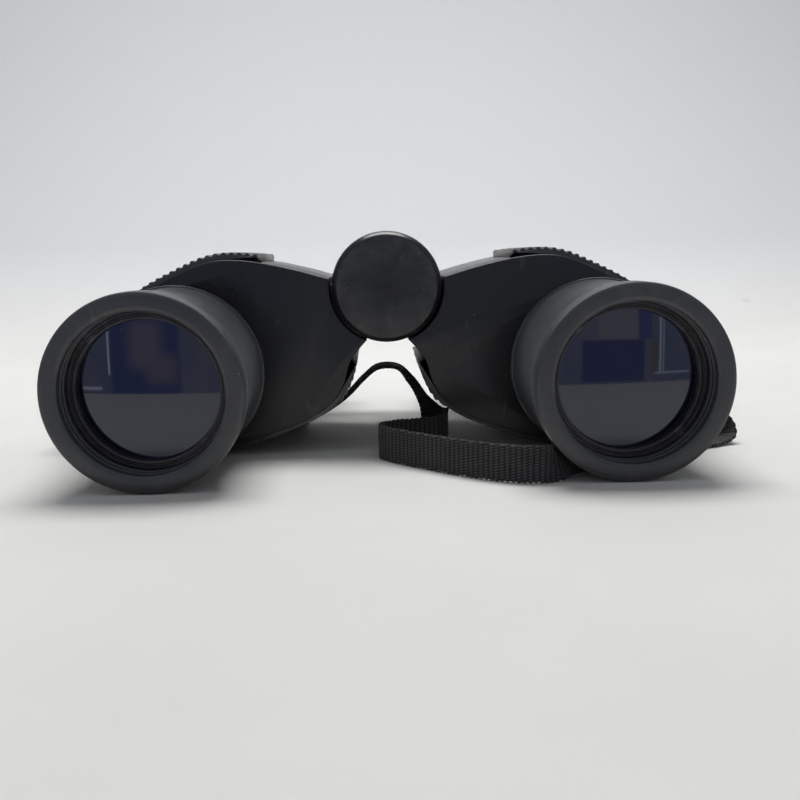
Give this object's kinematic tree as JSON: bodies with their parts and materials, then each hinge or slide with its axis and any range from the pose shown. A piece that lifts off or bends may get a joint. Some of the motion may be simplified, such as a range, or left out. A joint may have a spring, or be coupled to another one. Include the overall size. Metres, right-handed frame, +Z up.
{
  "type": "binoculars",
  "caption": "Porro-prism binoculars with rubber armour, a hinged pair of barrels, a central focusing wheel and bridge, a dioptre ring and a webbing neck strap.",
  "frame": {"origin": "on the table, under the middle of the pair without its strap", "axes": "+X across the pair to the user's right seen from the objectives, +Y from the objectives to the eyepieces, +Z up through the hinge"},
  "size_m": [0.2192, 0.1791, 0.0666],
  "materials": {
    "rubber": "matte moulded rubber",
    "housing_plastic": "fine satin black",
    "black_metal": "black anodised",
    "coated_glass": "polished, violet-blue coating",
    "optical_glass": "polished",
    "spring_steel": "bright spring steel",
    "screw_steel": "black oxide",
    "shaft_steel": "turned steel",
    "lug_plastic": "moulded black",
    "slider_plastic": "moulded black",
    "webbing": "ribbed black webbing",
    "tie_rubber": "plain black band"
  },
  "bodies": {
    "right_half": {"right_objective_sleeve": "rubber", "right_objective_tube": "black_metal", "right_lens_cell": "black_metal", "right_retaining_ring": "black_metal", "right_crown_lens": "coated_glass", "right_flint_lens": "optical_glass", "right_prism_housing": "housing_plastic", "right_front_plate": "housing_plastic", "right_body_armour": "rubber", "right_prism_shelf": "black_metal", "right_front_prism": "optical_glass", "right_rear_prism": "optical_glass", "right_prism_clips": "spring_steel", "right_rear_cover": "housing_plastic", "right_cover_screws": "screw_steel", "right_strap_lug": "lug_plastic", "hub_cap": "housing_plastic", "hinge_shaft": "shaft_steel", "hinge_nut": "black_metal", "neck_strap": "webbing", "strap_hank": "webbing", "hank_tie": "tie_rubber", "right_strap_slider": "slider_plastic"},
    "left_half": {"left_objective_sleeve": "rubber", "left_objective_tube": "black_metal", "left_lens_cell": "black_metal", "left_retaining_ring": "black_metal", "left_crown_lens": "coated_glass", "left_flint_lens": "optical_glass", "left_prism_housing": "housing_plastic", "left_front_plate": "housing_plastic", "left_body_armour": "rubber", "left_prism_shelf": "black_metal", "left_front_prism": "optical_glass", "left_rear_prism": "optical_glass", "left_prism_clips": "spring_steel", "left_rear_cover": "housing_plastic", "left_cover_screws": "screw_steel", "left_strap_lug": "lug_plastic", "left_strap_slider": "slider_plastic"},
    "focus_wheel": {"focus_wheel": "housing_plastic", "focus_grip": "rubber"},
    "bridge": {"focus_spindle": "shaft_steel", "right_bridge_arm": "black_metal", "bridge_cap": "housing_plastic", "right_eyepiece_tube": "black_metal"},
    "diopter_ring": {"diopter_ring": "lug_plastic"},
    "right_ocular": {"right_ocular_barrel": "black_metal", "right_field_lens": "optical_glass", "right_eye_lens": "optical_glass", "right_ocular_ring": "black_metal", "right_eyecup": "rubber"},
    "left_eyepiece": {"left_bridge_arm": "black_metal", "left_eyepiece_tube": "black_metal", "left_ocular_barrel": "black_metal", "left_field_lens": "optical_glass", "left_eye_lens": "optical_glass", "left_ocular_ring": "black_metal", "left_eyecup": "rubber"}
  },
  "joints": [
    {"name": "interpupillary_fold", "type": "hinge", "parent": "right_half", "child": "left_half", "pos_m": [0, 0, 0.0503], "axis": [0, 1, 0], "range_deg": [-38, 10], "deforming": ["neck_strap"]},
    {"name": "focus_wheel_turn", "type": "hinge", "parent": "right_half", "child": "focus_wheel", "pos_m": [0, 0.027, 0.0503], "axis": [0, 1, 0], "range_deg": [-240, 240]},
    {"name": "focus_slide", "type": "slide", "parent": "right_half", "child": "bridge", "axis": [0, 1, 0], "range_m": [-0.004, 0.004]},
    {"name": "left_arm_fold", "type": "hinge", "parent": "bridge", "child": "left_eyepiece", "pos_m": [0, 0.04, 0.0503], "axis": [0, 1, 0], "range_deg": [-38, 10]},
    {"name": "diopter_turn", "type": "hinge", "parent": "bridge", "child": "diopter_ring", "pos_m": [0.035, 0.05, 0.0359], "axis": [0, 1, 0], "range_deg": [-60, 60]},
    {"name": "diopter_slide", "type": "slide", "parent": "bridge", "child": "right_ocular", "axis": [0, 1, 0], "range_m": [-0.001, 0.001]}
  ],
  "couplings": [
    {"joint": "focus_wheel_turn", "follows": "focus_slide", "rad_per_m": 1047.2},
    {"joint": "left_arm_fold", "follows": "interpupillary_fold", "ratio": 1},
    {"joint": "diopter_turn", "follows": "diopter_slide", "rad_per_m": 1047.2}
  ]
}
